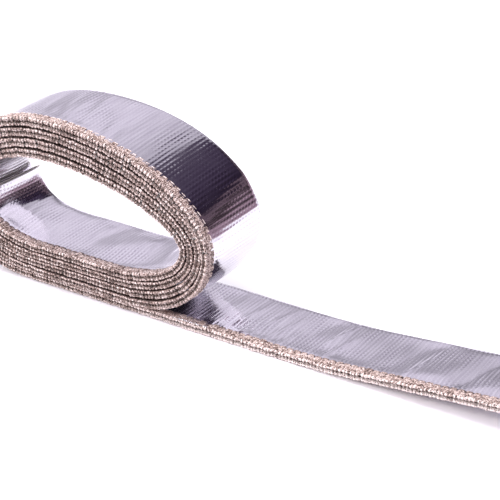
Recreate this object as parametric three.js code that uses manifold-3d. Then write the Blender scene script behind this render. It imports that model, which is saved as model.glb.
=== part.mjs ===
// Heat shield sleeve: a flat, sewn sleeve of aluminised glass cloth, wound into a loose
// oval coil that stands on its rim, with the outer end running away along the floor.
// Millimetres, +Z up, +X along the free tail, +Y from the sewn edge to the folded edge.
// The origin is at the bottom centre of the whole object's box.
import * as THREE from "three";
import { mergeVertices } from "three/addons/utils/BufferGeometryUtils.js";
import Module from "manifold-3d";

// The sleeve as it is sold
const FLAT_WIDTH = 33;
const STOCK_LENGTH = 1219;
const LAYER = 3;

// The coil: turns are counted from where the tail meets it to the free inner end
const TURNS = 4.22;
const PITCH_TOP = 3.9;
const PITCH_BEND = 2.9;
const PITCH_BOTTOM = LAYER;

// The outermost turn's outer face, in the coil's own coordinates
const RIGHT_X = 22.8;
const LEFT_X = -93.8;
const CREST_X = -46.6;
const CREST_Z = 66.95;
const BEND_Z = 29.6;

// The flat stretch that rests on the floor, its ends for the outermost and the innermost turn
const FLOOR_RIGHT = [-10, -25];
const FLOOR_LEFT = [-58, -53];

// How full each quarter of the oval is: 2 is an ellipse, less is leaner, more is boxier
const FULL_TOP_RIGHT = [1.97, 1.62];
const FULL_BOTTOM_RIGHT = [2.15, 2.05];
const FULL_TOP_LEFT = 2.1;
const FULL_BOTTOM_LEFT = 2.4;

// The tail lifts gently off the floor between these two places, and then at this slope
const LIFT_START_X = 48;
const LIFT_FULL_X = 76;
const LIFT_SLOPE = 0.086;

// The overlock seam that closes the near edge, and the lines between the turns
const SEAM_DEPTH = 1;
const SEAM_THICKNESS = 2.5;
const CLEARANCE = 0.3;
const GROOVE_WIDTH = 0.4;
const GROOVE_DEPTH = 3;

// Stations along the sleeve
const STATIONS_PER_TURN = 30;
const TAIL_STEP = 9;

const FLOOR_SHARE = 0.1;
const LEFT_TURN = 0.25;
const TOP_TURN = 0.5;
const RIGHT_TURN = 0.75;

function between([outer, inner], turns) {
  return THREE.MathUtils.lerp(outer, inner, turns / (TURNS + 1));
}

// One quarter of a superellipse: share 0 is on the side of the first semi-axis' end
function quarter(share, fullness) {
  const angle = share * Math.PI / 2;
  const power = 2 / fullness;
  return [Math.pow(Math.sin(angle), power), Math.pow(Math.max(Math.cos(angle), 0), power)];
}

// The outer face of the layer that is wound after this many turns
function coilPoint(turns) {
  const share = turns - Math.floor(turns + 1e-9);
  const right = RIGHT_X - PITCH_BEND * turns;
  const left = LEFT_X + PITCH_BEND * turns;
  const top = CREST_Z - PITCH_TOP * turns;
  const floor = PITCH_BOTTOM * turns;
  const floorRight = between(FLOOR_RIGHT, turns);
  const floorLeft = between(FLOOR_LEFT, turns);
  if (share < FLOOR_SHARE) {
    return new THREE.Vector2(THREE.MathUtils.lerp(floorRight, floorLeft, share / FLOOR_SHARE), floor);
  }
  if (share < LEFT_TURN) {
    const [out, along] = quarter((share - FLOOR_SHARE) / (LEFT_TURN - FLOOR_SHARE), FULL_BOTTOM_LEFT);
    return new THREE.Vector2(floorLeft - (floorLeft - left) * out, BEND_Z - (BEND_Z - floor) * along);
  }
  if (share < TOP_TURN) {
    const [up, along] = quarter((share - LEFT_TURN) / (TOP_TURN - LEFT_TURN), FULL_TOP_LEFT);
    return new THREE.Vector2(CREST_X - (CREST_X - left) * along, BEND_Z + (top - BEND_Z) * up);
  }
  if (share < RIGHT_TURN) {
    const [out, along] = quarter((share - TOP_TURN) / (RIGHT_TURN - TOP_TURN), between(FULL_TOP_RIGHT, turns));
    return new THREE.Vector2(CREST_X + (right - CREST_X) * out, BEND_Z + (top - BEND_Z) * along);
  }
  const [down, along] = quarter((share - RIGHT_TURN) / (1 - RIGHT_TURN), between(FULL_BOTTOM_RIGHT, turns));
  return new THREE.Vector2(floorRight + (right - floorRight) * along, BEND_Z - (BEND_Z - floor) * down);
}

// The middle of the layer, halfway to the face of the layer wound inside it
function layerMiddle(turns) {
  return coilPoint(turns).add(coilPoint(turns + 1)).multiplyScalar(0.5);
}

// Points at even steps of a turn, ends included, with the quarters' ends always among them
function stations(from, to) {
  const marks = new Set([from, to]);
  for (let turn = Math.floor(from); turn <= to; turn += 1) {
    const ends = [0, FLOOR_SHARE, LEFT_TURN, TOP_TURN, RIGHT_TURN, 1];
    for (let part = 1; part < ends.length; part += 1) {
      const span = ends[part] - ends[part - 1];
      const steps = part === 1 ? 1 : Math.round(STATIONS_PER_TURN / 4);
      for (let step = 0; step < steps; step += 1) {
        const mark = turn + ends[part - 1] + span * step / steps;
        if (mark > from + 1e-6 && mark < to - 1e-6) marks.add(mark);
      }
    }
  }
  return [...marks].sort((first, second) => first - second);
}

function pathLength(points) {
  let length = 0;
  for (let index = 1; index < points.length; index += 1) {
    length += points[index].distanceTo(points[index - 1]);
  }
  return length;
}

// The tail takes what the coil leaves of the stock length
const coilLength = pathLength(stations(0, TURNS).map(layerMiddle));
const tailLength = STOCK_LENGTH - coilLength;
const tailStartX = FLOOR_RIGHT[0];

function tailLift(x) {
  if (x < LIFT_START_X) return 0;
  const run = LIFT_FULL_X - LIFT_START_X;
  if (x < LIFT_FULL_X) return LIFT_SLOPE * (x - LIFT_START_X) ** 2 / (2 * run);
  return LIFT_SLOPE * (x - LIFT_START_X - run / 2);
}

function tailLine(height) {
  const points = [];
  const steps = Math.ceil(tailLength / TAIL_STEP);
  for (let step = 0; step <= steps; step += 1) {
    const x = tailStartX + tailLength * step / steps;
    if (x > LIFT_START_X - TAIL_STEP || step === steps) {
      points.push(new THREE.Vector2(x, height + tailLift(x)));
    }
  }
  return points;
}

const tailEndX = tailStartX + tailLength;
const centreX = (tailEndX + LEFT_X + PITCH_BEND * LEFT_TURN) / 2;

// The coil's outline: out along the tail's top, back along its underside, and once round
function coilOutline() {
  const contact = LAYER + CLEARANCE;
  const round = stations(0, 1).map(coilPoint);
  const wound = round.filter((point, index) => index < round.length / 2 || point.y > contact);
  const last = wound[wound.length - 1];
  const underside = tailLine(0).reverse();
  const topside = tailLine(LAYER);
  const notch = [new THREE.Vector2(last.x - LAYER, contact), new THREE.Vector2(last.x - LAYER, LAYER)];
  return [...underside, ...wound, ...notch, ...topside];
}

function boreOutline() {
  return stations(TURNS, TURNS + 1).map(coilPoint);
}

// A closed band of the given thickness along a line of points
function band(line, thickness) {
  const outer = [];
  const inner = [];
  line.forEach((point, index) => {
    const before = line[Math.max(index - 1, 0)];
    const after = line[Math.min(index + 1, line.length - 1)];
    const along = after.clone().sub(before).normalize().multiplyScalar(thickness / 2);
    outer.push(new THREE.Vector2(point.x - along.y, point.y + along.x));
    inner.push(new THREE.Vector2(point.x + along.y, point.y - along.x));
  });
  return [...outer, ...inner.reverse()];
}

// A flat outline in X and Z, made solid from one Y to another
function slab(outline, fromY, toY) {
  const shape = new THREE.Shape(outline);
  const geometry = new THREE.ExtrudeGeometry(shape, { depth: toY - fromY, bevelEnabled: false });
  geometry.rotateX(Math.PI / 2);
  geometry.translate(-centreX, toY, 0);
  return geometry;
}

const wasm = await Module();
wasm.setup();

function toSolid(geometry) {
  const bare = geometry.clone();
  bare.deleteAttribute("normal");
  bare.deleteAttribute("uv");
  const merged = mergeVertices(bare, 1e-5);
  return new wasm.Manifold(new wasm.Mesh({
    numProp: 3,
    vertProperties: new Float32Array(merged.attributes.position.array),
    triVerts: new Uint32Array(merged.index.array),
  }));
}

function toGeometry(solid) {
  const mesh = solid.getMesh();
  const geometry = new THREE.BufferGeometry();
  geometry.setAttribute("position", new THREE.BufferAttribute(new Float32Array(mesh.vertProperties), 3));
  geometry.setIndex(new THREE.BufferAttribute(new Uint32Array(mesh.triVerts), 1));
  geometry.computeVertexNormals();
  return geometry;
}

const nearY = -FLAT_WIDTH / 2;
const farY = FLAT_WIDTH / 2;
const clothNearY = nearY + SEAM_DEPTH + CLEARANCE;

// The cloth: one solid with its bore, and the line between its turns cut into both ends
function foilSleeve() {
  const wound = toSolid(slab(coilOutline(), clothNearY, farY));
  const bore = toSolid(slab(boreOutline(), nearY, farY + SEAM_DEPTH));
  const line = stations(1, TURNS).map(coilPoint);
  const groove = band(line, GROOVE_WIDTH);
  const nearGroove = toSolid(slab(groove, clothNearY - GROOVE_DEPTH, clothNearY + GROOVE_DEPTH));
  const farGroove = toSolid(slab(groove, farY - GROOVE_DEPTH, farY + GROOVE_DEPTH));
  const geometry = toGeometry(wound.subtract(bore).subtract(nearGroove).subtract(farGroove));
  const material = new THREE.MeshStandardMaterial({ color: 0xc9c4d3, metalness: 0.9, roughness: 0.3 });
  const mesh = new THREE.Mesh(geometry, material);
  mesh.name = "foil_sleeve";
  return mesh;
}

// The sewing thread that binds the two edges of the cloth, a bead along the whole near edge
function overlockSeam() {
  const tail = tailLine(LAYER / 2).reverse();
  const coil = stations(0, TURNS).map(layerMiddle);
  const bead = band([...tail, ...coil], SEAM_THICKNESS);
  const geometry = slab(bead, nearY, nearY + SEAM_DEPTH);
  const material = new THREE.MeshStandardMaterial({ color: 0xb8a48f, metalness: 0, roughness: 0.85 });
  const mesh = new THREE.Mesh(geometry, material);
  mesh.name = "overlock_seam";
  return mesh;
}

const group = new THREE.Group();
group.add(foilSleeve(), overlockSeam());

export default group;
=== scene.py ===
# %% [markdown]
# Heat shield sleeve
#
# The real object is a strip of aluminised glass cloth, folded along its middle with the foil
# outside and overlocked along the two free edges. Hoses and cables run inside it. Here it is
# wound into a loose oval coil that stands on its rim, and its outer end runs away flat.
# The construction model holds the coil as one plain solid, so this lesson makes the cloth and
# the stitches over it: one closed cloth mesh, and thread that follows its near edge.

# %% Load the frame
import math

import bpy
import numpy as np
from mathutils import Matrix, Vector


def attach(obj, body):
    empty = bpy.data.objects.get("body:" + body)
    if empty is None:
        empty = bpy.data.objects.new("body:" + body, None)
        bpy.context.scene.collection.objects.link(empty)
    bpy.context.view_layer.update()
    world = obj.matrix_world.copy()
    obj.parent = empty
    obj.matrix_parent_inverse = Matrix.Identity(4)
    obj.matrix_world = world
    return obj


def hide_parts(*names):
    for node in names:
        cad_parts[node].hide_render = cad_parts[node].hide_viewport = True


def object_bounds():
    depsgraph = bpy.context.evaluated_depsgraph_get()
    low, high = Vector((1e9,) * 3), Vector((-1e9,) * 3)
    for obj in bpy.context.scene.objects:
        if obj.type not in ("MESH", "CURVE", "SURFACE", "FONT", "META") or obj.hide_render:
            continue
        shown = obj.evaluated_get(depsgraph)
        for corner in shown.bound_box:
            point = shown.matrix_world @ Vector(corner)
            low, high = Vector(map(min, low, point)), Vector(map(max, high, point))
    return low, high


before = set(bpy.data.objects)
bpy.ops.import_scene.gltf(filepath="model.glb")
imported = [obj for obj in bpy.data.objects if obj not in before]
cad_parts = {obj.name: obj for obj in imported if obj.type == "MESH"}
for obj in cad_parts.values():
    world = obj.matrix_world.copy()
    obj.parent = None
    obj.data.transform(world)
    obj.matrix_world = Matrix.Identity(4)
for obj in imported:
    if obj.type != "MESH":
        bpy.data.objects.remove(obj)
cad_low, cad_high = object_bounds()
MM = 0.001
print("construction model, mm:", [round((h - l) / MM, 1) for l, h in zip(cad_low, cad_high)])

# %% [markdown]
# The line that the sleeve follows
#
# Each turn of the coil is an oval made of four quarters of a superellipse and a flat stretch
# on the floor, and each turn lies a layer inside the one before. One formula gives the outer
# face of the layer after any number of turns, so the middle of a layer is halfway between
# this face and the next one. A drawn curve would need hundreds of points to do the same.

# %% The coil's formula
FLAT_WIDTH = 33.0
LAYER = 3.0
TURNS = 4.22
PITCH_TOP = 3.9
PITCH_BEND = 2.9
RIGHT_X = 22.8
LEFT_X = -93.8
CREST_X = -46.6
CREST_Z = 66.95
BEND_Z = 29.6
FLOOR_RIGHT = (-10.0, -25.0)
FLOOR_LEFT = (-58.0, -53.0)
FULL_TOP_RIGHT = (1.97, 1.62)
FULL_BOTTOM_RIGHT = (2.15, 2.05)
FULL_TOP_LEFT = 2.1
FULL_BOTTOM_LEFT = 2.4
FLOOR_SHARE, LEFT_TURN, TOP_TURN, RIGHT_TURN = 0.1, 0.25, 0.5, 0.75


def between(pair, turns):
    return pair[0] + (pair[1] - pair[0]) * turns / (TURNS + 1)


def quarter(share, fullness):
    angle = np.clip(share, 0, 1) * math.pi / 2
    return np.sin(angle) ** (2 / fullness), np.cos(angle) ** (2 / fullness)


def coil_face(turns):
    """The outer face of the layer after this many turns, in mm, as x and z."""
    share = turns - np.floor(turns + 1e-9)
    right, left = RIGHT_X - PITCH_BEND * turns, LEFT_X + PITCH_BEND * turns
    top, floor = CREST_Z - PITCH_TOP * turns, LAYER * turns
    floor_right, floor_left = between(FLOOR_RIGHT, turns), between(FLOOR_LEFT, turns)
    x = floor_right + (floor_left - floor_right) * share / FLOOR_SHARE
    z = floor.copy()
    out, along = quarter((share - FLOOR_SHARE) / (LEFT_TURN - FLOOR_SHARE), FULL_BOTTOM_LEFT)
    here = (share >= FLOOR_SHARE) & (share < LEFT_TURN)
    x = np.where(here, floor_left - (floor_left - left) * out, x)
    z = np.where(here, BEND_Z - (BEND_Z - floor) * along, z)
    up, along = quarter((share - LEFT_TURN) / (TOP_TURN - LEFT_TURN), FULL_TOP_LEFT)
    here = (share >= LEFT_TURN) & (share < TOP_TURN)
    x = np.where(here, CREST_X - (CREST_X - left) * along, x)
    z = np.where(here, BEND_Z + (top - BEND_Z) * up, z)
    out, along = quarter((share - TOP_TURN) / (RIGHT_TURN - TOP_TURN), between(FULL_TOP_RIGHT, turns))
    here = (share >= TOP_TURN) & (share < RIGHT_TURN)
    x = np.where(here, CREST_X + (right - CREST_X) * out, x)
    z = np.where(here, BEND_Z + (top - BEND_Z) * along, z)
    down, along = quarter((share - RIGHT_TURN) / (1 - RIGHT_TURN), between(FULL_BOTTOM_RIGHT, turns))
    here = share >= RIGHT_TURN
    x = np.where(here, floor_right + (right - floor_right) * along, x)
    z = np.where(here, BEND_Z - (BEND_Z - floor) * down, z)
    return x, z


crest = coil_face(np.array([TOP_TURN]))
print("the coil's crest, mm:", [round(float(value[0]), 1) for value in crest])

# %% [markdown]
# From the tail to the inner end
#
# The tail lies flat, lifts a little towards its free end, and runs into the outermost turn.
# Points at even steps along the whole line carry its two directions, along and outward, so
# that anything can later be placed by how far along it lies. The line ends a little past the
# construction model's inner end, and is under a hundredth longer than the sleeve as it is sold.

# %% The whole line, from the tail's free end to the coil's inner end
LIFT_START_X, LIFT_FULL_X, LIFT_SLOPE = 48.0, 76.0, 0.086
STEP = 0.25
SMOOTH_MM = 2.2


def tail_lift(x):
    run = LIFT_FULL_X - LIFT_START_X
    bend = LIFT_SLOPE * np.clip(x - LIFT_START_X, 0, run) ** 2 / (2 * run)
    return bend + LIFT_SLOPE * np.clip(x - LIFT_FULL_X, 0, None)


def travelled(x, z):
    return np.concatenate([[0], np.cumsum(np.hypot(np.diff(x), np.diff(z)))])


def smooth(values, sigma):
    """Softens a line of values, and keeps its two ends where they are."""
    reach = int(4 * sigma)
    before = 2 * values[0] - values[reach:0:-1]
    after = 2 * values[-1] - values[-2:-reach - 2:-1]
    weights = np.exp(-0.5 * (np.arange(-reach, reach + 1) / sigma) ** 2)
    return np.convolve(np.concatenate([before, values, after]), weights / weights.sum(), "valid")


END_TURN = TURNS + 0.03
centre_x = LEFT_X + PITCH_BEND * LEFT_TURN - cad_low.x / MM
turns = np.linspace(0, END_TURN, 6000)
outer, inner = coil_face(turns), coil_face(turns + 1)
coil_x, coil_z = (outer[0] + inner[0]) / 2, (outer[1] + inner[1]) / 2
tail_end = centre_x + cad_high.x / MM - 0.4
tail_x = np.linspace(tail_end, FLOOR_RIGHT[0], 700)
line_x = np.concatenate([tail_x, coil_x[1:]])
line_z = np.concatenate([LAYER / 2 + tail_lift(tail_x), coil_z[1:]])
line_turn = np.concatenate([np.zeros(len(tail_x)), turns[1:]])
line_s = travelled(line_x, line_z)
LENGTH = line_s[-1]
even_s = np.arange(0, LENGTH, STEP)
path_x = smooth(np.interp(even_s, line_s, line_x), SMOOTH_MM / STEP)
path_z = smooth(np.interp(even_s, line_s, line_z), SMOOTH_MM / STEP)
path_turn = np.interp(even_s, line_s, line_turn)
tangent_x, tangent_z = np.gradient(path_x), np.gradient(path_z)
size = np.hypot(tangent_x, tangent_z)
tangent_x, tangent_z = tangent_x / size, tangent_z / size
outward_x, outward_z = -tangent_z, tangent_x


def turn_to_s(turn):
    return float(np.interp(turn, line_turn[len(tail_x) - 1:], line_s[len(tail_x) - 1:]))


TAIL_LENGTH = turn_to_s(0)
print(f"sleeve line: {LENGTH:.0f} mm, of which {TAIL_LENGTH:.0f} mm are tail, {TURNS} turns")

# %% [markdown]
# How thick the seam is along the line
#
# Round the bends the turns are pulled tight, and over the crest they lie loose. The distance
# from one turn to the next is the room that a turn has. The seam takes nearly all of it,
# because it is the thickest part of the sleeve, and what is left over is slack.

# %% Room for each turn
CLEAR = 0.34
SEAM_RANGE = (2.1, 3.35)
TAIL_THICKNESS = 2.8


def room_for_turn():
    faces = [np.array(coil_face(path_turn + step)) for step in (0, 1)]
    across = faces[1] - faces[0]
    reach = np.abs(across[0] * outward_x + across[1] * outward_z)
    reach = np.where(path_turn <= 0, TAIL_THICKNESS + CLEAR, reach)
    return smooth(reach, 3.0 / STEP)


room = room_for_turn()
thickness = np.clip(room - CLEAR, *SEAM_RANGE)
slack = room - CLEAR - thickness
print(f"seam thickness: {thickness.min():.2f} to {thickness.max():.2f} mm")
print(f"slack: up to {slack.max():.2f} mm")


# %% [markdown]
# Unevenness
#
# Cloth is never quite even, and a random number for each point would only make it rough.
# A coarse grid of random numbers, read between its points on a smooth curve, gives hills and
# hollows of a chosen size. The seed is fixed, so every run gives the same cloth.

# %% Smooth random hills
def hills(s, w, size_s, size_w, seed):
    """Smooth random values from -1 to 1 over the cloth's length s and width w, in mm."""
    grid = np.random.default_rng(seed).uniform(-1, 1, (4096, 64))
    a, b = s / size_s + 7.3, w / size_w + 3.1
    i, j = np.floor(a).astype(int) % 4095, np.floor(b).astype(int) % 63
    u, v = a - np.floor(a), b - np.floor(b)
    u, v = u * u * (3 - 2 * u), v * v * (3 - 2 * v)
    low = grid[i, j] * (1 - u) + grid[i + 1, j] * u
    high = grid[i, j + 1] * (1 - u) + grid[i + 1, j + 1] * u
    return low * (1 - v) + high * v


def bump_at(value, centre, reach):
    return np.exp(-0.5 * ((value - centre) / reach) ** 2)


def at(s, values):
    return np.interp(s, even_s, values)


some = hills(np.array([0.0, 5.0, 10.0]), np.zeros(3), 14.0, 11.0, 1)
print("hills at 0, 5 and 10 mm:", [round(float(value), 2) for value in some])

# %% [markdown]
# The folded cloth
#
# In section the sleeve is a flat U: two plies of cloth, joined by a round fold at the far
# edge and open at the near edge, where the thread holds them. The section has an outer line
# and an inner line, one ply's thickness apart. Swept along the path it is one closed mesh.
# The foil's ribs are the glass yarns that show through it, a millimetre and a half apart, so
# the stretches that show get stations close enough together to carry them.

# %% The cloth's section
PLY = 0.42
SEAM_REACH = 4.8
THREAD = 0.42
BODY_HALF = 1.0
FOLD_HALF = 0.7
ACROSS = np.array([0.45, 2.4, 4.4, 5.4, 6.0, 6.8, 8.4, 10.6, 13.2, 16.0, 19.0, 22.0, 25.0, 28.0,
                   30.6, 32.0])
FOLD_POINTS = 4
INNER_ACROSS = np.array([0.45, 6.0, 14.0, 23.0, 31.6])
RIB_PITCH = 1.5
RIB_STEP = RIB_PITCH / 4


def station_positions():
    fine_from, fine_to = turn_to_s(0.12), turn_to_s(0.98)
    last_from = turn_to_s(TURNS - 1.02)
    parts = [np.arange(0, turn_to_s(0.02), RIB_STEP), np.arange(turn_to_s(0.02), fine_from, 1.5),
             np.arange(fine_from, fine_to, RIB_STEP), np.arange(fine_to, last_from, 2.0),
             np.arange(last_from, LENGTH - 0.4, 0.6), [LENGTH - 0.3]]
    return np.concatenate(parts)


stations = station_positions()
print("stations along the cloth:", len(stations))


# %% [markdown]
# Relief of the foil
#
# Several things shape a ply. Ribs and ripples run across the tape everywhere. Broad creases
# are deepest where the inside face shows. Short sharp folds lie where the sleeve was bent and
# laid flat again, and over the right-hand bend the outermost turn has two sharp creases, as
# flattened foil has. Each is a small formula in mm, so they can simply be added up.

# %% Sharp creases and folds
CREASES = ((0.728, 2.6, 0.55, 4.0), (0.684, 3.4, 0.75, 7.0))
CREST_FOLDS = ((0.470, 16, 6, 0.30), (0.483, 11, 6, 0.26), (0.497, 18, 7, 0.38), (0.508, 14, 8, 0.44),
               (0.520, 21, 8, 0.40), (0.545, 12, 6, 0.40), (0.560, 9, 5, 0.20))
CREST_FOLD_WIDTH = 1.1
TAIL_FOLDS = ((30, 10, 6, 0.16), (36, 14, 7, 0.26), (41, 10, 6, 0.28), (46, 16, 7, 0.34),
              (51, 11, 6, 0.30), (56, 8, 5, 0.22), (70, 20, 8, 0.34), (74, 12, 6, 0.30),
              (104, 15, 8, 0.22))
TAIL_FOLD_WIDTH = 0.6
TAIL_SWELL = 0.4


def crease(s, w):
    """The flattened foil has bent in two sharp lines, which lean a little across the tape."""
    height = 0
    for turn, lean, rise, reach in CREASES:
        centre = turn_to_s(turn) - lean * (w - 6) / 27
        away = np.sqrt((s - centre) ** 2 + 0.15)
        height = height + rise * np.exp(-away / reach) * np.clip(w / FLAT_WIDTH, 0.25, 1)
    return height


def fold_lines(s, w, lines, width):
    """Short folds across the tape: each has a place, a middle, a reach and a rise."""
    height = 0
    for place_s, centre, reach, rise in lines:
        away = (s - place_s + 0.25 * (w - centre)) / width
        height = height + rise * np.exp(-0.5 * away ** 2) * bump_at(w, centre, reach)
    return height


def crest_folds(s, w):
    lines = [(turn_to_s(turn), *rest) for turn, *rest in CREST_FOLDS]
    return fold_lines(s, w, lines, CREST_FOLD_WIDTH)


def tail_folds(s, w):
    """The tail is fuller beside the coil, and its folds are placed by their distance from it."""
    lines = [(TAIL_LENGTH - from_coil, *rest) for from_coil, *rest in TAIL_FOLDS]
    swell = TAIL_SWELL * bump_at(TAIL_LENGTH - s, 22, 12)
    return swell + fold_lines(s, w, lines, TAIL_FOLD_WIDTH)


print("folds on the crest and on the tail:", len(CREST_FOLDS), len(TAIL_FOLDS))

# %% Ribs, ripples and broad creases
RIB_HEIGHT = 0.009
TAIL_RIBS = 2.6
FOLDED_RIBS = 1.6
RIPPLE_HEIGHT = 0.09
SEAM_CLEAR = 5


def rib_drift(s, w):
    """The yarns don't run quite straight: how far a rib has moved, in parts of a pitch."""
    return 0.16 * hills(s, w, 12.0, 14.0, 12)


def rib_strength(s, w, seed):
    """The ribs come and go in patches. They stand out on the tail, and most beside its folds."""
    from_coil = TAIL_LENGTH - s
    strength = 0.45 + 0.55 * np.clip(hills(s, w, 14.0, 11.0, seed) + 0.3, 0, 1)
    strength = strength * (1 + TAIL_RIBS * np.clip(from_coil / 10, 0, 1))
    return strength * (1 + FOLDED_RIBS * bump_at(from_coil, 42, 13) * bump_at(w, 8, 7))


def creased_share(s, side):
    """How deep the broad creases are: deepest on the inside face, in the bore and on the tail."""
    bore = np.clip((at(s, path_turn) - TURNS + 1.05) / 0.05, 0, 1)
    tail = np.clip((TAIL_LENGTH - s - 25) / 20, 0, 1)
    return 0.35 + (0.85 * bore + 0.55 * tail) * (0.5 - 0.5 * side)


def relief(s, w, side):
    """How far a ply's foil stands out from flat, in mm: side is 1 on the outer ply, -1 inside."""
    seed = 10 if side > 0 else 20
    wave = np.sin(2 * math.pi * (s / RIB_PITCH + rib_drift(s, w)))
    ribs = RIB_HEIGHT * rib_strength(s, w, seed + 3) * wave
    patches = 0.4 + 0.6 * hills(s, w, 30, 17, seed + 5) ** 2
    ripple = RIPPLE_HEIGHT * hills(s, w, 3.2, 26.0, seed + 4) * patches
    ripple += RIPPLE_HEIGHT * hills(s, w, 11.0, 30.0, seed + 6)
    ripple += creased_share(s, side) * (np.abs(hills(s + 0.35 * w, w, 21.0, 26.0, seed + 7)) - 0.3)
    fade = np.clip((FLAT_WIDTH - w) / 3, 0, 1) * np.clip((w - SEAM_CLEAR) / 3, 0, 1)
    height = (ribs + ripple) * fade
    if side > 0:
        return height + crease(s, w) + crest_folds(s, w)
    return height + tail_folds(s, w)


heights = relief(stations[:, None], ACROSS[None, :], 1)
print(f"relief of the outer ply: {heights.min():.2f} to {heights.max():.2f} mm")

# %% [markdown]
# The floor of the bore, and the inner end
#
# The inner ply of the last turn shows in the bore. It has two pressed ovals in its floor, and
# its free end has been pinched flat by the hand that wound the coil, and crumpled.

# %% Dents and the inner end
DENTS = ((4.02, 21, 13, 9, 0.25, -0.045), (3.88, 22, 9, 10, 0.4, 0.0))
PINCH = 1.2
CRUMPLE = 0.22


def dents(s, w):
    """Ovals with a clear rim in the floor of the bore, where the cloth has been pressed and tilted."""
    height = 0
    for turn, centre, long, wide, rise, tilt in DENTS:
        ahead = s - turn_to_s(turn)
        away = (ahead / long) ** 2 + ((w - centre) / wide) ** 2
        height = height + (rise + tilt * ahead) * np.clip(3 * (1 - away), 0, 1)
    return height * np.clip((FLAT_WIDTH - w) / 3, 0, 1)


def crumple(s, w):
    """The inner end is pinched flat, and fuller just before it: this only ever adds."""
    fade = np.clip((FLAT_WIDTH - w) / 5, 0, 1) * np.clip((w - 4) / 12, 0, 1)
    left = LENGTH - s
    swell = np.clip((52 - left) / 40, 0, 1)
    pinch = PINCH * np.minimum(swell * swell * (3 - 2 * swell), np.clip(left / 14, 0, 1))
    end = np.clip((34 - left) / 12, 0, 1)
    return fade * (pinch + CRUMPLE * end * np.abs(hills(s - 0.3 * w, w, 3.2, 16.0, 28)))


print("pressed ovals in the bore:", len(DENTS))

# %% [markdown]
# Sweeping the section
#
# At every station the section's points are worked out as distances across and outward, then
# turned into places in the frame. Neighbouring sections are joined by rows of quads, and two
# caps close the ends. The outer line gets the foil, and the inner line the bare glass cloth.

# %% The section at each station
LINING_GAP = 0.14


def half_at(s, w):
    """Half the thickness without the thread: thin at the seam, full, then thin at the fold."""
    seam_half = at(s, thickness) / 2
    body = np.minimum(seam_half - 0.1, BODY_HALF) * (1 + 0.10 * hills(s, w * 0, 60, 40, 31))
    rise = np.clip((w - SEAM_REACH) / 4.0, 0, 1)
    fall = np.clip((w - 12) / 20, 0, 1)
    rise, fall = rise * rise * (3 - 2 * rise), fall * fall * (3 - 2 * fall)
    return (seam_half - THREAD) * (1 - rise) + (body * (1 - fall) + FOLD_HALF * fall) * rise


def section(s):
    """The section at each station, as arrays of w and h: outer line, then inner line."""
    s2 = s[:, None]
    flat = np.repeat(ACROSS[None, :], len(s), 0)
    half = half_at(s2, flat)
    top = half + relief(s2, flat, 1)
    under = -half - relief(s2, flat, -1) - crumple(s2, flat) - dents(s2, flat)
    angle = np.linspace(math.pi / 2, -math.pi / 2, FOLD_POINTS + 2)[1:-1][None, :]
    fold_w = ACROSS[-1] + (FLAT_WIDTH - ACROSS[-1]) * np.cos(angle) + 0 * s2
    fold_h = half[:, -1:] * np.sin(angle)
    outer_w = np.hstack([flat, fold_w, flat[:, ::-1]])
    outer_h = np.hstack([top, fold_h, under[:, ::-1]])
    inner_flat = np.repeat(INNER_ACROSS[None, :], len(s), 0)
    inner_half = half_at(s2, inner_flat) - PLY - LINING_GAP
    inner_top = np.maximum(inner_half + relief(s2, inner_flat, 1), 0.12)
    inner_under = -np.maximum(inner_half + relief(s2, inner_flat, -1), 0.12)
    inner_w = np.hstack([inner_flat, inner_flat[:, ::-1]])
    inner_h = np.hstack([inner_top, inner_under[:, ::-1]])
    return outer_w, outer_h, inner_w, inner_h


print("points round the section:", sum(w.shape[1] for w in section(stations[:1])[::2]))

# %% Where each turn lies
SHOULDER = 3.3


def side_drift(s):
    """Each turn lies a little to one side of the next."""
    return 0.45 * hills(s, 0 * s, 95.0, 10.0, 5) + 0.22 * hills(s, 0 * s, 33.0, 10.0, 6)


def bias(s):
    """Which neighbour a turn lies against: 1 outside for the first turn, -1 inside for the last."""
    share = np.clip((at(s, path_turn) - 0.9) / (TURNS - 2.0), 0, 1)
    middle = np.clip(4 * share * (1 - share), 0, 1)
    wave = 0.8 * hills(s, 0 * s, 42.0, 10.0, 7) + 0.5 * hills(s, 0 * s, 13.0, 10.0, 8)
    return np.clip(1 - 2 * share + middle * wave, -1, 1)


def shift(s, w):
    """How far a turn moves outward: its slack, its thin folded side, and the outermost turn's
    shoulder, which stands off the next turn towards the far edge."""
    thin = at(s, thickness) / 2 - THREAD / 2 - FOLD_HALF
    far = np.clip((w - 5) / 22, 0, 1)
    shoulder = SHOULDER * bump_at(at(s, path_turn), 0.62, 0.08) * w / FLAT_WIDTH
    return bias(s) * (0.5 * at(s, slack) + thin * far) + shoulder


def place(s, w, h):
    """A point of the sleeve in the frame, in metres: s along it, w across it, h outward."""
    h = h + shift(s, w)
    x = at(s, path_x) - centre_x + h * at(s, outward_x)
    z = at(s, path_z) + h * at(s, outward_z)
    y = w - FLAT_WIDTH / 2 + side_drift(s)
    return np.stack([x, y, z], axis=-1) * MM


free_end = place(np.array([0.0]), np.array([0.0]), np.array([0.0]))
print("the tail's free end, mm:", (free_end[0] / MM).round(1).tolist())

# %% The cloth's mesh
def make_mesh(name, points, faces):
    mesh = bpy.data.meshes.new(name)
    mesh.from_pydata([tuple(p) for p in points], [], faces)
    mesh.update()
    piece = bpy.data.objects.new(name, mesh)
    bpy.context.scene.collection.objects.link(piece)
    return piece


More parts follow.
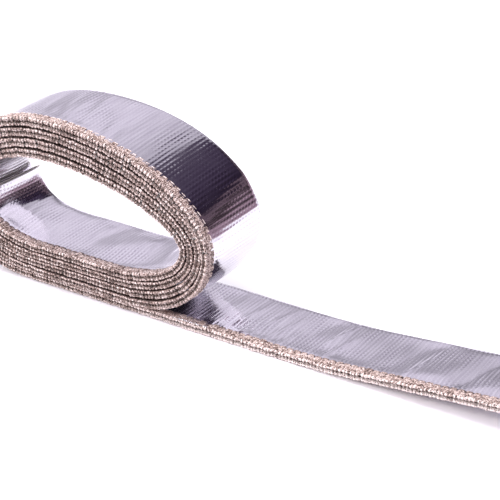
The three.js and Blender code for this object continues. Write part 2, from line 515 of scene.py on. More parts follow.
def make_cloth():
    outer_w, outer_h, inner_w, inner_h = section(stations)
    w = np.hstack([outer_w, inner_w[:, ::-1]])
    h = np.hstack([outer_h, inner_h[:, ::-1]])
    count, loop = w.shape
    s = np.repeat(stations[:, None], loop, 1)
    points = place(s.ravel(), w.ravel(), h.ravel())
    points[:, 2] = np.maximum(points[:, 2], 0.0)
    ring = np.arange(loop)
    after = (ring + 1) % loop
    rows = np.arange(count - 1)[:, None] * loop
    quads = np.stack([rows + ring, rows + after, rows + loop + after, rows + loop + ring], -1)
    faces = quads.reshape(-1, 4)[:, ::-1].tolist()
    foil = np.tile(ring < outer_w.shape[1] - 1, count - 1)
    m, k = outer_w.shape[1], inner_w.shape[1]
    caps = []
    for base, turned in ((0, False), ((count - 1) * loop, True)):
        for i in range(m - 1):
            j, j2 = round(i * (k - 1) / (m - 1)), round((i + 1) * (k - 1) / (m - 1))
            corner = [base + i, base + i + 1, base + loop - 1 - j2]
            if j2 != j:
                corner.append(base + loop - 1 - j)
            caps.append(corner[::-1] if turned else corner)
    piece = make_mesh("folded_cloth", points, faces + caps)
    layer = piece.data.uv_layers.new(name="cloth")
    corner_points = np.empty(len(piece.data.loops), int)
    piece.data.loops.foreach_get("vertex_index", corner_points)
    along = s.ravel() + RIB_PITCH * rib_drift(s.ravel(), w.ravel())
    uv = np.stack([along[corner_points] / 10, w.ravel()[corner_points] / 10], -1)
    layer.data.foreach_set("uv", uv.ravel())
    lining = np.concatenate([~foil, np.ones(len(caps), bool)])
    piece.data.polygons.foreach_set("material_index", lining.astype(int))
    piece.data.polygons.foreach_set("use_smooth", np.ones(len(lining), bool))
    return piece


cloth = make_cloth()
print("faces of the cloth:", len(cloth.data.polygons))

# %% [markdown]
# The overlock seam
#
# An overlock machine throws two looper threads to and fro between a line of needle holes and
# the edge of the cloth, and the loops meet on the edge. Seen on the face they are slanting
# strands, with dark slits between them at the needle line, and seen on the edge they are two
# rows of fat beads, one for each ply. One stitch is made once as a few tubes. Geometry Nodes
# then put it at every pitch along the near edge, turned to the line, at the seam's thickness.

# %% One strand
STITCH_PITCH = 2.7


def strand(path, wide, high, tone, facing, sides=5):
    """A flattened yarn along a path: half width, half height and tone at each point."""
    path = [Vector(p) for p in path]
    vertices, faces, tones = [], [], []
    for i, point in enumerate(path):
        ahead = (path[min(i + 1, len(path) - 1)] - path[max(i - 1, 0)]).normalized()
        side = ahead.cross(Vector(facing)).normalized()
        up = side.cross(ahead)
        for k in range(sides):
            turn = 2 * math.pi * k / sides
            vertices.append(point + wide[i] * math.cos(turn) * side + high[i] * math.sin(turn) * up)
            tones.append(tone[i])
    for i in range(len(path) - 1):
        for k in range(sides):
            a, b = i * sides + k, i * sides + (k + 1) % sides
            faces.append((a, a + sides, b + sides, b))
    faces.append(tuple(range(sides)))
    faces.append(tuple(reversed(range((len(path) - 1) * sides, len(path) * sides))))
    return vertices, faces, tones


def joined(name, strands):
    vertices, faces, tones = [], [], []
    for some, these, tone in strands:
        base = len(vertices)
        vertices += some
        faces += [tuple(base + i for i in f) for f in these]
        tones += tone
    piece = make_mesh(name, [tuple(v) for v in vertices], faces)
    piece.data.polygons.foreach_set("use_smooth", [True] * len(faces))
    for label, values in (("tone", tones), ("face", [v[2] for v in vertices])):
        piece.data.attributes.new(label, "FLOAT", "POINT").data.foreach_set("value", values)
    return piece


trial = strand([(0, 0, 0), (1, 0, 0), (2, 0, 0)], [0.3] * 3, [0.2] * 3, [1.0] * 3, (0, 0, 1))
print("a strand through three places has", len(trial[0]), "points and", len(trial[1]), "faces")

# %% [markdown]
# Two kinds of stitch
#
# A stitch is drawn in mm along and across the edge, and outward as a share of the seam's half
# thickness, so 1 is the seam's face. No strand ends in the open, where it would look like a cut
# wire: its ends sink into the cloth, or lie among other strands. Where they sink they are
# painted dark, as shade.

# %% The stitch on the faces
FACE_STRANDS = ((-0.46, 0.85), (-0.23, 1.0), (0.0, 0.8), (0.23, 1.0), (0.46, 0.9))


def one_face_stitch():
    """On both faces a fan of strands from needle hole to edge, over a dark one that paints the shade
    between them; a chain on one.
    """
    p, reach = STITCH_PITCH, SEAM_REACH
    strands = []
    for side in (1, -1):
        for lean, shade in FACE_STRANDS:
            path = [(0.4 * lean * p, reach + 0.1, 0.58 * side),
                    (0.55 * lean * p, 0.84 * reach, 0.86 * side),
                    (lean * p, 0.45 * reach, 0.90 * side),
                    (lean * p, 0.5, 0.82 * side)]
            # Painted shade: each strand is darkest at its inner end, where it sinks into the cloth.
            tone = [0.15 * shade, 0.55 * shade, 0.7 * shade, 0.5 * shade]
            wide, high = [0.14, 0.29, 0.38, 0.37], [0.1, 0.16, 0.17, 0.17]
            strands.append(strand(path, wide, high, tone, (0, 0, side)))
        # Painted shade: a dark strand under the fan stands for the shade between its strands.
        under = [(-0.5 * p, 0.86 * reach, 0.62 * side),
                 (0, 0.8 * reach, 0.68 * side),
                 (0.5 * p, 0.86 * reach, 0.62 * side)]
        strands.append(strand(under, [0.5] * 3, [0.12] * 3, [0.12] * 3, (0, 0, side), 4))
    chain = [(-0.5 * p, 0.84 * reach, 0.90), (-0.1 * p, 0.86 * reach, 1.02),
             (0.3 * p, 0.885 * reach, 1.0), (0.56 * p, 0.90 * reach, 0.7)]
    # Painted shade at the chain's two ends.
    wide, high, tone = [0.1, 0.24, 0.24, 0.12], [0.08, 0.13, 0.13, 0.08], [0.3, 0.9, 0.9, 0.2]
    strands.append(strand(chain, wide, high, tone, (0, 0, 1)))
    return joined("face_stitch", strands)


print("strands in each fan:", len(FACE_STRANDS))

# %% The stitch on the edge
# Each loop: where along, how fat, how far out, and its tone; the deeper thin loops get painted shade.
EDGE_LOOPS = ((-0.40, 0.24, 0.0, 0.75), (-0.17, 0.40, 0.20, 1.05),
              (0.09, 0.24, 0.0, 0.70), (0.32, 0.42, 0.26, 1.15))


def one_edge_stitch():
    """The loops on the edge: two fat and two thin ones for each ply, bent round it. The thin ones lie
    deeper and are painted darker, and each loop's inner end is nearly black: painted shade.
    """
    p = STITCH_PITCH
    strands = []
    for side in (1, -1):
        for along, fat, out, shade in EDGE_LOOPS:
            path = [(along * p - 0.15, 0.85, 0.90 * side),
                    (along * p, 0.10 - out, 0.80 * side),
                    (along * p + 0.1, -0.05 - out, 0.50 * side),
                    (along * p + 0.1, 0.15 - out, 0.24 * side),
                    (along * p, 0.85, 0.14 * side)]
            wide, high = [0.6 * fat, fat, 1.15 * fat, fat, 0.5 * fat], [0.18, 0.24, 0.26, 0.22, 0.12]
            # Painted shade: the loop is lightest over the edge and nearly black where it sinks in.
            tone = [0.6 * shade, 0.95 * shade, shade, 0.8 * shade, 0.1]
            strands.append(strand(path, wide, high, tone, (0, -0.7, 0.7 * side)))
    return joined("edge_stitch", strands)


print("loops on each ply's edge:", len(EDGE_LOOPS))

# %% [markdown]
# A tree that lays stitches along an edge
#
# Nodes can repeat a stitch along any line, so the pitch, the unevenness and the seed are inputs
# of the tree, and the two kinds of stitch share it. The line's points carry what differs along
# it: two directions and the seam's thickness.

# %% The tree's inputs
SEAM_INPUTS = (("Geometry", "NodeSocketGeometry"), ("Stitch", "NodeSocketObject"),
               ("Pitch", "NodeSocketFloat"), ("Uneven", "NodeSocketFloat"),
               ("Seed", "NodeSocketInt"), ("Thread", "NodeSocketMaterial"))


def start_tree():
    tree = bpy.data.node_groups.new("stitches along an edge", "GeometryNodeTree")
    for name, kind in SEAM_INPUTS:
        tree.interface.new_socket(name, in_out="INPUT", socket_type=kind)
    tree.interface.new_socket("Geometry", in_out="OUTPUT", socket_type="NodeSocketGeometry")
    return tree, tree.nodes.new("NodeGroupInput"), tree.nodes.new("NodeGroupOutput")


def line_value(tree, name, kind):
    """Reads a value that the line's points carry."""
    node = tree.nodes.new("GeometryNodeInputNamedAttribute")
    node.data_type = kind
    node.inputs["Name"].default_value = name
    return node.outputs["Attribute"]


def spread(tree, given, reach, seed):
    """A random vector, up to this reach times the Uneven input, either way."""
    pick = tree.nodes.new("FunctionNodeRandomValue")
    pick.data_type = "FLOAT_VECTOR"
    for end, sign in (("Min", -1), ("Max", 1)):
        scaled = tree.nodes.new("ShaderNodeVectorMath")
        scaled.operation = "SCALE"
        scaled.inputs[0].default_value = [sign * part for part in reach]
        tree.links.new(given.outputs["Uneven"], scaled.inputs["Scale"])
        tree.links.new(scaled.outputs[0], pick.inputs[end])
    tree.links.new(seed, pick.inputs["Seed"])
    return pick.outputs["Value"]


print("inputs of the tree:", [name for name, kind in SEAM_INPUTS])

# %% Laying a stitch at every pitch
LEAN = (0.25, 1.0, 1.0)
LEAST_SIZE = (0.92, 0.94, 0.94)
MOST_SIZE = (1.12, 1.02, 1.04)


def stitch_turn(tree, given):
    """The rotation of each stitch: outward and along as the line has them, and a random lean."""
    new, link = tree.nodes.new, tree.links.new
    axes = new("FunctionNodeAxesToRotation")
    axes.primary_axis, axes.secondary_axis = "Z", "X"
    link(line_value(tree, "outward", "FLOAT_VECTOR"), axes.inputs["Primary Axis"])
    link(line_value(tree, "along", "FLOAT_VECTOR"), axes.inputs["Secondary Axis"])
    lean, both = new("FunctionNodeEulerToRotation"), new("FunctionNodeRotateRotation")
    both.rotation_space = "LOCAL"
    link(spread(tree, given, LEAN, given.outputs["Seed"]), lean.inputs["Euler"])
    link(axes.outputs["Rotation"], both.inputs["Rotation"])
    link(lean.outputs["Rotation"], both.inputs["Rotate By"])
    return both.outputs["Rotation"]


def stitch_size(tree, given):
    """The scale of each stitch: mm to metres, half the seam's thickness outward, and some chance."""
    new, link = tree.nodes.new, tree.links.new
    size, vary = new("ShaderNodeCombineXYZ"), new("FunctionNodeRandomValue")
    size.inputs[0].default_value = MM
    size.inputs[1].default_value = MM
    link(line_value(tree, "thick", "FLOAT"), size.inputs[2])
    vary.data_type = "FLOAT_VECTOR"
    vary.inputs["Min"].default_value = LEAST_SIZE
    vary.inputs["Max"].default_value = MOST_SIZE
    link(given.outputs["Seed"], vary.inputs["Seed"])
    grown = new("ShaderNodeVectorMath")
    grown.operation = "MULTIPLY"
    link(size.outputs[0], grown.inputs[0])
    link(vary.outputs["Value"], grown.inputs[1])
    return grown.outputs[0]


def laid_stitches(tree, given):
    new, link = tree.nodes.new, tree.links.new
    to_curve, resample = new("GeometryNodeMeshToCurve"), new("GeometryNodeResampleCurve")
    resample.mode = "LENGTH"
    link(given.outputs["Geometry"], to_curve.inputs["Mesh"])
    link(to_curve.outputs["Curve"], resample.inputs["Curve"])
    link(given.outputs["Pitch"], resample.inputs["Length"])
    picked, lay = new("GeometryNodeObjectInfo"), new("GeometryNodeInstanceOnPoints")
    link(given.outputs["Stitch"], picked.inputs["Object"])
    link(resample.outputs["Curve"], lay.inputs["Points"])
    link(picked.outputs["Geometry"], lay.inputs["Instance"])
    link(stitch_turn(tree, given), lay.inputs["Rotation"])
    link(stitch_size(tree, given), lay.inputs["Scale"])
    return lay.outputs["Instances"]


print("a stitch's size varies from", LEAST_SIZE, "to", MOST_SIZE)

# %% [markdown]
# Loosening the row
#
# No two stitches pull equally tight, so each is nudged a little and gets a shade of its own,
# which the thread's material reads. The tree ends by making the copies real and giving them
# the thread, because only a plain mesh can leave Blender.

# %% The finished tree
NUDGE = (2.4, 1.0, 0.5)
SHADE_REACH = 2.0
SECOND_SEED = 20


def stored_shade(tree, given, stitches, seed):
    """Stores a random shade around 1 on each stitch."""
    new, link = tree.nodes.new, tree.links.new
    shade, keep = new("FunctionNodeRandomValue"), new("GeometryNodeStoreNamedAttribute")
    shade.data_type, keep.data_type, keep.domain = "FLOAT", "FLOAT", "INSTANCE"
    for end, reach in ((2, -SHADE_REACH), (3, SHADE_REACH)):
        limit = new("ShaderNodeMath")
        limit.operation = "MULTIPLY_ADD"
        limit.inputs[1].default_value = reach
        limit.inputs[2].default_value = 1.0
        link(given.outputs["Uneven"], limit.inputs[0])
        link(limit.outputs[0], shade.inputs[end])
    link(seed, shade.inputs["Seed"])
    keep.inputs["Name"].default_value = "shade"
    link(shade.outputs[1], keep.inputs["Value"])
    link(stitches, keep.inputs["Geometry"])
    return keep.outputs["Geometry"]


def seam_tree():
    tree, given, made = start_tree()
    new, link = tree.nodes.new, tree.links.new
    second_seed = new("ShaderNodeMath")
    second_seed.inputs[1].default_value = SECOND_SEED
    link(given.outputs["Seed"], second_seed.inputs[0])
    move = new("GeometryNodeTranslateInstances")
    link(laid_stitches(tree, given), move.inputs["Instances"])
    link(spread(tree, given, NUDGE, second_seed.outputs[0]), move.inputs["Translation"])
    shaded = stored_shade(tree, given, move.outputs["Instances"], second_seed.outputs[0])
    real, paint = new("GeometryNodeRealizeInstances"), new("GeometryNodeSetMaterial")
    link(shaded, real.inputs["Geometry"])
    link(real.outputs["Geometry"], paint.inputs["Geometry"])
    link(given.outputs["Thread"], paint.inputs["Material"])
    link(paint.outputs["Geometry"], made.inputs["Geometry"])
    return tree


tree = seam_tree()
print("nodes in the tree:", len(tree.nodes))

# %% The line that the stitches follow
END_MARGIN = 1.6
EDGE_STEP = 0.65


def edge_line():
    """The near edge of the sleeve as a chain of points, with the values the stitches need."""
    s = np.arange(END_MARGIN, LENGTH - END_MARGIN, EDGE_STEP)
    points = place(s, 0 * s, 0 * s)
    piece = bpy.data.objects.new("edge_line", bpy.data.meshes.new("edge_line"))
    piece.data.from_pydata([tuple(p) for p in points], [(i, i + 1) for i in range(len(s) - 1)], [])
    bpy.context.scene.collection.objects.link(piece)
    vectors = {"outward": (at(s, outward_x), at(s, outward_z)),
               "along": (at(s, tangent_x), at(s, tangent_z))}
    for name, (x, z) in vectors.items():
        attribute = piece.data.attributes.new(name, "FLOAT_VECTOR", "POINT")
        attribute.data.foreach_set("vector", np.stack([x, 0 * x, z], -1).ravel())
    turn = at(s, path_turn)
    tail = np.clip((TAIL_LENGTH - s) / 4, 0, 1)
    last_turn = np.clip((turn - TURNS + 1.0) / 0.05, 0, 1)
    # open_out, open_in and tail tell the thread's material where to paint shade and where to paint
    # light.
    values = {"thick": at(s, thickness) / 2 * MM, "tail": tail,
              "open_out": np.clip((1.0 - turn) / 0.05, 0, 1), "open_in": np.maximum(last_turn, tail)}
    for name, value in values.items():
        piece.data.attributes.new(name, "FLOAT", "POINT").data.foreach_set("value", value)
    return piece


def sewn(name, stitch, material, uneven, seed):
    """Lays a stitch along the edge, and turns the result into a plain mesh."""
    piece = edge_line()
    sewing = piece.modifiers.new("sewing", "NODES")
    sewing.node_group = tree
    values = {"Stitch": stitch, "Pitch": STITCH_PITCH * MM, "Uneven": uneven, "Seed": seed,
              "Thread": material}
    for item in tree.interface.items_tree:
        if item.in_out == "INPUT" and item.name in values:
            sewing[item.identifier] = values[item.name]
    bpy.context.view_layer.update()
    shown = piece.evaluated_get(bpy.context.evaluated_depsgraph_get())
    mesh = bpy.data.meshes.new_from_object(shown)
    plain = bpy.data.objects.new(name, mesh)
    bpy.context.scene.collection.objects.link(plain)
    bpy.data.objects.remove(piece)
    bpy.data.objects.remove(stitch)
    print(name, "triangles:", sum(len(p.vertices) - 2 for p in mesh.polygons))
    return plain


print("pitch of the stitches, mm:", STITCH_PITCH)

# %% [markdown]
# Finishes
#
# The foil is a metal surface over a woven cloth, so its own colour hardly changes and its bumps
# do the work: ribs across the tape, broken into dashes by the yarns that cross them. Its base
# colour carries painted shade from the same relief, darker in the valleys and lighter on the
# crests, and so does the glass cloth's. The thread is a twisted yarn with a slight sheen. Foil and
# glass read the cloth's own map, and the thread reads the piece's coordinates, so the patterns
# stay on the piece.


# %% Small helpers for materials
def new_material(name):
    material = bpy.data.materials.new(name)
    material.use_nodes = True
    return material, material.node_tree, material.node_tree.nodes["Principled BSDF"]


def add(tree, kind, **values):
    """Adds a node and sets its inputs; an underscore stands for the space in an input's name."""
    node = tree.nodes.new(kind)
    for name, value in values.items():
        node.inputs[name.replace("_", " ")].default_value = value
    return node


def maths(tree):
    """Gives a short way to write sums: each call adds one Math node to the tree."""
    def call(kind, first, second=None):
        node = tree.nodes.new("ShaderNodeMath")
        node.operation = kind
        for socket, value in zip(node.inputs, (first, second)):
            if isinstance(value, (int, float)):
                socket.default_value = value
            elif value is not None:
                tree.links.new(value, socket)
        return node.outputs[0]
    return call


def noise(tree, where, scale, detail):
    node = add(tree, "ShaderNodeTexNoise", Scale=scale, Detail=detail)
    tree.links.new(where, node.inputs["Vector"])
    return node.outputs["Fac"]


def colours(tree, value, *stops):
    """A colour ramp over a value: each stop is a position and a colour."""
    node = tree.nodes.new("ShaderNodeValToRGB")
    ramp = node.color_ramp
    ramp.elements[0].position, ramp.elements[0].color = stops[0]
    ramp.elements[1].position, ramp.elements[1].color = stops[-1]
    for position, colour in stops[1:-1]:
        ramp.elements.new(position).color = colour
    tree.links.new(value, node.inputs["Fac"])
    return node.outputs["Color"]


def bumps(tree, shader, height, strength, distance):
    node = add(tree, "ShaderNodeBump", Strength=strength, Distance=distance)
    tree.links.new(height, node.inputs["Height"])
    tree.links.new(node.outputs["Normal"], shader.inputs["Normal"])


print("materials so far:", len(bpy.data.materials))

# %% [markdown]
# The woven relief
#
# Foil and glass cloth share one effect, so it is a node group with its own inputs. A sine wave
# makes the ribs, a second one across it breaks them into dashes, and a soft noise makes both
# strong in some places and faint in others. A stretched noise adds fine streaks along the
# ribs. Besides the height it gives painted shade, low in the valleys and high on the crests,
# which darkens the colour in the valleys. Its coordinates are in cm of cloth.

# %% The woven relief's nodes
RELIEF_INPUTS = (("Rib pitch", 0.15), ("Yarn pitch", 0.08), ("Uneven", 0.4))
PATCH_SCALE = 0.65
FAINTEST = 0.12


def woven_group():
    tree = bpy.data.node_groups.new("woven relief", "ShaderNodeTree")
    tree.interface.new_socket("Vector", in_out="INPUT", socket_type="NodeSocketVector")
    for name, value in RELIEF_INPUTS:
        socket = tree.interface.new_socket(name, in_out="INPUT", socket_type="NodeSocketFloat")
        socket.default_value = value
    for name in ("Height", "Mask"):
        tree.interface.new_socket(name, in_out="OUTPUT", socket_type="NodeSocketFloat")
    given, made = tree.nodes.new("NodeGroupInput"), tree.nodes.new("NodeGroupOutput")
    do, link = maths(tree), tree.links.new
    place_on_cloth = given.outputs["Vector"]
    split = tree.nodes.new("ShaderNodeSeparateXYZ")
    link(place_on_cloth, split.inputs[0])
    rib = do("DIVIDE", split.outputs[0], given.outputs["Rib pitch"])
    yarn = do("DIVIDE", split.outputs[1], given.outputs["Yarn pitch"])
    ribs = do("SINE", do("MULTIPLY", rib, 2 * math.pi))
    yarns = do("SINE", do("MULTIPLY", yarn, 2 * math.pi))
    weave = do("MULTIPLY", do("SINE", do("MULTIPLY", rib, math.pi)), yarns)
    patch = do("SUBTRACT", noise(tree, place_on_cloth, PATCH_SCALE, 2), 0.45)
    strong = do("MINIMUM", do("MAXIMUM", do("MULTIPLY", patch, 6.0), FAINTEST), 1.0)
    deep = do("ADD", do("MULTIPLY", strong, 0.9), 0.1)
    dashes = do("ADD", do("MULTIPLY", yarns, 0.40), 0.55)
    ribs = do("MULTIPLY", do("MULTIPLY", ribs, dashes), deep)
    weave = do("MULTIPLY", do("MULTIPLY", weave, 0.25), strong)
    stretched = add(tree, "ShaderNodeMapping", Scale=(11, 0.9, 1))
    link(place_on_cloth, stretched.inputs["Vector"])
    streak = do("SUBTRACT", noise(tree, stretched.outputs["Vector"], 1, 2), 0.5)
    streak = do("MULTIPLY", do("MULTIPLY", streak, 2.2), given.outputs["Uneven"])
    height = do("ADD", do("ADD", ribs, weave), streak)
    link(height, made.inputs["Height"])
    # Painted shade: low in the relief's valleys, high on its crests.
    link(do("ADD", do("MULTIPLY", height, 0.4), 0.5), made.inputs["Mask"])
    return tree


woven = woven_group()
print("nodes in the woven relief:", len(woven.nodes))


# %% Foil, and bare glass cloth
def woven_material(name, yarn_pitch, uneven, darkest, lightest, bump_distance):
    """A finish whose bumps come from the woven relief and whose tone is painted shade from it, laid on
    the cloth's own map.
    """
    material, nodes, shader = new_material(name)
    map_node = nodes.nodes.new("ShaderNodeUVMap")
    map_node.uv_map = "cloth"
    relief_node = nodes.nodes.new("ShaderNodeGroup")
    relief_node.node_tree = woven
    relief_node.inputs["Rib pitch"].default_value = RIB_PITCH / 10
    relief_node.inputs["Yarn pitch"].default_value = yarn_pitch
    relief_node.inputs["Uneven"].default_value = uneven
    nodes.links.new(map_node.outputs["UV"], relief_node.inputs["Vector"])
    # Painted shade: the colour is darker in the relief's valleys and lighter on its crests.
    tone = colours(nodes, relief_node.outputs["Mask"], darkest, lightest)
    nodes.links.new(tone, shader.inputs["Base Color"])
    bumps(nodes, shader, relief_node.outputs["Height"], 0.6, bump_distance)
    return material, nodes, shader, map_node.outputs["UV"]


foil, nodes, shader, cloth_map = woven_material(
    "aluminised foil", 0.18, 0.6, (0.10, (0.56, 0.52, 0.60, 1)),
    (0.66, (0.865, 0.85, 0.885, 1)), 0.00005)
shader.inputs["Metallic"].default_value = 1.0
rough = add(nodes, "ShaderNodeMapRange", To_Min=0.09, To_Max=0.22)
nodes.links.new(noise(nodes, cloth_map, 1.1, 5), rough.inputs["Value"])
nodes.links.new(rough.outputs["Result"], shader.inputs["Roughness"])

glass, nodes, shader, cloth_map = woven_material(
    "glass cloth", 0.1, 0.4, (0.0, (0.46, 0.42, 0.38, 1)), (1.0, (0.80, 0.77, 0.73, 1)), 0.0001)
shader.inputs["Roughness"].default_value = 0.8
print("finishes for the cloth:", foil.name, "and", glass.name)

# %% [markdown]
# The thread
#
# A strand's tone comes with the stitch, and a fine noise adds its fibres. The tone already holds
# painted shade at the strands' ends. A face that lies against the next turn gets painted shade:
# it is darkened by how far out of the stitch it is and by whether its side of the turn is open.
# An open face of the coil gets painted light, and the tail's thread is painted lighter as a whole,
# most of all its outward row, while the coil's thread is a little darker.

# %% Thread
# How deep the painted shade on hidden faces is, and how much painted light open faces get.
PAINTED_GAP_SHADE = 0.92
PAINTED_OPEN_LIGHT = 0.6


def thread_material():
    material, nodes, shader = new_material("overlock thread")
    do = maths(nodes)

    def read(name):
        node = nodes.nodes.new("ShaderNodeAttribute")
        node.attribute_name = name
        return node.outputs["Fac"]

    where = nodes.nodes.new("ShaderNodeTexCoord").outputs["Object"]
    fibre, blotch = noise(nodes, where, 1900, 3), noise(nodes, where, 330, 3)
    level, tail = read("face"), read("tail")
    outside = do("GREATER_THAN", level, 0.0)
    inside = do("SUBTRACT", 1.0, outside)
    seen = do("ADD", do("MULTIPLY", outside, read("open_out")), do("MULTIPLY", inside, read("open_in")))
    near = add(nodes, "ShaderNodeMapRange", From_Min=0.82, From_Max=1.0)
    nodes.links.new(do("ABSOLUTE", level), near.inputs["Value"])
    face = near.outputs["Result"]
    # Painted shade: a face that lies against the next turn is darkened towards the seam's face.
    gap_shade = do("MULTIPLY", face, do("SUBTRACT", 1.0, seen))
    lit = do("SUBTRACT", 1.0, do("MULTIPLY", gap_shade, PAINTED_GAP_SHADE))
    # Painted light: an open face of the coil is made lighter.
    open_painted_light = do("MAXIMUM", do("MULTIPLY", face, do("SUBTRACT", seen, tail)), 0.0)
    lit = do("ADD", lit, do("MULTIPLY", open_painted_light, PAINTED_OPEN_LIGHT))
    light = do("MULTIPLY", do("MULTIPLY", read("tone"), read("shade")), lit)
    # Painted light: the tail's thread is lighter, its outward row most, and the coil's thread a little
    # darker.
    tail_painted_light = do("MULTIPLY", tail, do("ADD", do("MULTIPLY", outside, 0.9), 0.43))
    light = do("MULTIPLY", light, do("ADD", tail_painted_light, 0.82))
    spots = do("ADD", do("MULTIPLY", fibre, 3.8), do("MULTIPLY", blotch, 0.9))
    tone = colours(nodes, do("MULTIPLY", light, do("SUBTRACT", spots, 1.70)),
                   (0.10, (0.045, 0.025, 0.020, 1)), (0.45, (0.47, 0.330, 0.285, 1)),
                   (0.92, (0.96, 0.83, 0.78, 1)))
    nodes.links.new(tone, shader.inputs["Base Color"])
    shader.inputs["Roughness"].default_value = 0.38
    bumps(nodes, shader, fibre, 1.0, 0.0003)
    return material


thread = thread_material()
print("nodes in the thread's material:", len(thread.node_tree.nodes))

# %% [markdown]
# Dressing the cloth and sewing the edge
#
# The cloth gets its two finishes, and the two kinds of stitch are laid along the same edge. The
# edge's loops are less even than the strands on the faces, because nothing holds them flat.

# %% The seam's two pieces
cloth.data.materials.append(foil)
cloth.data.materials.append(glass)
face_loops = sewn("face_loops", one_face_stitch(), thread, 0.035, 3)
edge_wraps = sewn("edge_wraps", one_edge_stitch(), thread, 0.11, 4)

# %% [markdown]
# What stands for what
#
# The cloth stands for the plain solid of the coil, and the stitches for the plain bead.

for piece in (cloth, face_loops, edge_wraps):
    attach(piece, "root")
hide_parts("foil_sleeve")
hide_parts("overlock_seam")

# %% [markdown]
# Studio
#
# The photograph is taken from above and to the right, with a long lens, on a white table.
# What makes foil look like foil is what it reflects, so the world is drawn for that: a pale
# sky, and towards the back right a dark part of the room, which turns the right-hand bend
# nearly black. A belt low in the sky is up to about two thirds dimmer, most of all towards
# that side, and gives the foil the greys between. The world looks plain white to the camera.

# %% Floor
TABLE_SIZE = 12
BELOW_THE_COIL = 0.0002
bpy.ops.mesh.primitive_plane_add(size=TABLE_SIZE, location=(0, 0, -BELOW_THE_COIL))
floor = bpy.context.object
floor.name = "table"
white, nodes, shader = new_material("white table")
shader.inputs["Base Color"].default_value = (0.93, 0.92, 0.94, 1)
shader.inputs["Roughness"].default_value = 0.8
floor.data.materials.append(white)
print("table, m:", [round(side, 1) for side in floor.dimensions[:2]])

# %% World: directions
BACK_RIGHT = (0.643, 0.766)
world = bpy.data.worlds.new("studio")
bpy.context.scene.world = world
world.use_nodes = True
sky = world.node_tree
sky.nodes.clear()
do = maths(sky)


def soft_step(value, low, high):
    node = add(sky, "ShaderNodeMapRange", From_Min=low, From_Max=high)
    node.interpolation_type = "SMOOTHSTEP"
    sky.links.new(value, node.inputs["Value"])
    return node.outputs["Result"]


direction = sky.nodes.new("ShaderNodeTexCoord")
parts = sky.nodes.new("ShaderNodeSeparateXYZ")
sky.links.new(direction.outputs["Generated"], parts.inputs[0])
across, back, height = parts.outputs
level_part = do("SQRT", do("SUBTRACT", 1.0, do("MULTIPLY", height, height)))
toward = do("ADD", do("MULTIPLY", across, BACK_RIGHT[0]), do("MULTIPLY", back, BACK_RIGHT[1]))
facing = do("DIVIDE", toward, level_part)
print("the dark part of the room lies towards", BACK_RIGHT)

# %% World: colours
DARK_STOPS = ((0.36, (0.800, 0.545, 0.690, 1)), (0.50, (0.040, 0.025, 0.050, 1)),
              (0.60, (0.036, 0.022, 0.050, 1)), (0.72, (0.105, 0.074, 0.140, 1)),
              (0.84, (0.165, 0.130, 0.205, 1)))
low_sky = do("SUBTRACT", 1.0, soft_step(height, 0.88, 0.97))
dark = do("MULTIPLY", low_sky, soft_step(facing, 0.69, 0.77))
mix = sky.nodes.new("ShaderNodeMix")
mix.data_type = "RGBA"
mix.inputs["A"].default_value = (1.0, 0.935, 1.085, 1)
sky.links.new(colours(sky, height, *DARK_STOPS), mix.inputs["B"])
sky.links.new(dark, mix.inputs["Factor"])
print("stops in the dark part:", len(DARK_STOPS))

# %% World: how bright each part is
FRONT_DIM, TOWARD_DIM, BELT_DIM, MIRROR_DIM = 0.1, 0.35, 0.62, 0.17
front = do("SUBTRACT", 1.0, soft_step(back, -0.45, 0.15))
belt = do("MULTIPLY", soft_step(height, 0.10, 0.30), do("SUBTRACT", 1.0, soft_step(height, 0.30, 0.50)))
belt = do("MULTIPLY", belt, do("ADD", do("MULTIPLY", soft_step(facing, 0.12, 0.50), 0.45), 0.55))
bright = do("SUBTRACT", 1.0, do("MULTIPLY", front, FRONT_DIM))
bright = do("SUBTRACT", bright, do("MULTIPLY", soft_step(facing, 0.30, 0.70), TOWARD_DIM))
bright = do("SUBTRACT", bright, do("MULTIPLY", belt, BELT_DIM))
ray = sky.nodes.new("ShaderNodeLightPath")
mirrored = do("SUBTRACT", 1.0, do("MULTIPLY", ray.outputs["Is Glossy Ray"], MIRROR_DIM))
lit = sky.nodes.new("ShaderNodeBackground")
sky.links.new(mix.outputs["Result"], lit.inputs["Color"])
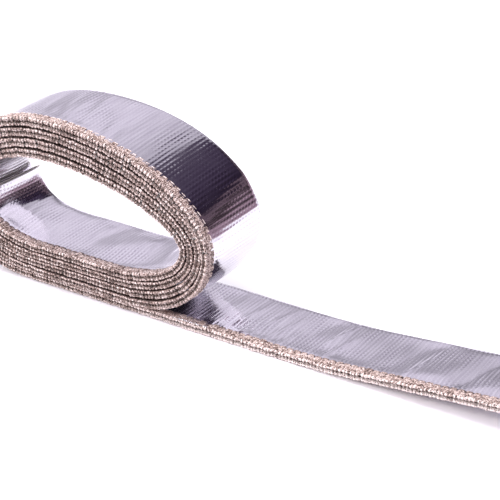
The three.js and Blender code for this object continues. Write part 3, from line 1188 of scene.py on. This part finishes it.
sky.links.new(do("MULTIPLY", bright, mirrored), lit.inputs["Strength"])
seen = add(sky, "ShaderNodeBackground", Color=(1, 1, 1, 1))
choose = sky.nodes.new("ShaderNodeMixShader")
sky.links.new(ray.outputs["Is Camera Ray"], choose.inputs[0])
sky.links.new(lit.outputs[0], choose.inputs[1])
sky.links.new(seen.outputs[0], choose.inputs[2])
out = sky.nodes.new("ShaderNodeOutputWorld")
sky.links.new(choose.outputs[0], out.inputs["Surface"])
print("nodes in the world:", len(sky.nodes))


# %% Lamps
def lamp(name, place_at, width, power):
    """A round soft lamp that points at the middle of the table."""
    data = bpy.data.lights.new(name, "AREA")
    data.shape = "DISK"
    data.size = width
    data.energy = power
    made = bpy.data.objects.new(name, data)
    bpy.context.scene.collection.objects.link(made)
    made.location = place_at
    made.rotation_euler = (-Vector(place_at)).to_track_quat("-Z", "Y").to_euler()
    return made


overhead = lamp("overhead", (-0.15, 0.1, 1.1), 0.9, 11)
overhead.visible_glossy = False
key = lamp("key", (-0.52, -0.72, 0.66), 0.5, 7)
print("lamps:", overhead.name, key.name)

# %% Camera
FOCAL_PIXELS = 1447.0
FRAME_PIXELS = 500
SENSOR = 36
AZIMUTH, ELEVATION = math.radians(32.476), math.radians(26.035)
CAMERA_AT = (263.8 - centre_x, -356.1 - FLAT_WIDTH / 2, 243.5)
camera_data = bpy.data.cameras.new("camera")
camera_data.sensor_width = SENSOR
camera_data.lens = SENSOR * FOCAL_PIXELS / FRAME_PIXELS
camera_data.clip_start = 0.01
camera = bpy.data.objects.new("camera", camera_data)
bpy.context.scene.collection.objects.link(camera)
camera.location = Vector(CAMERA_AT) * MM
level = math.cos(ELEVATION)
look = Vector((-math.sin(AZIMUTH) * level, math.cos(AZIMUTH) * level, -math.sin(ELEVATION)))
camera.rotation_euler = look.to_track_quat("-Z", "Y").to_euler()
bpy.context.scene.camera = camera
bpy.context.scene.view_settings.view_transform = "Standard"
bpy.context.view_layer.update()
print("lens, mm:", round(camera_data.lens, 1))
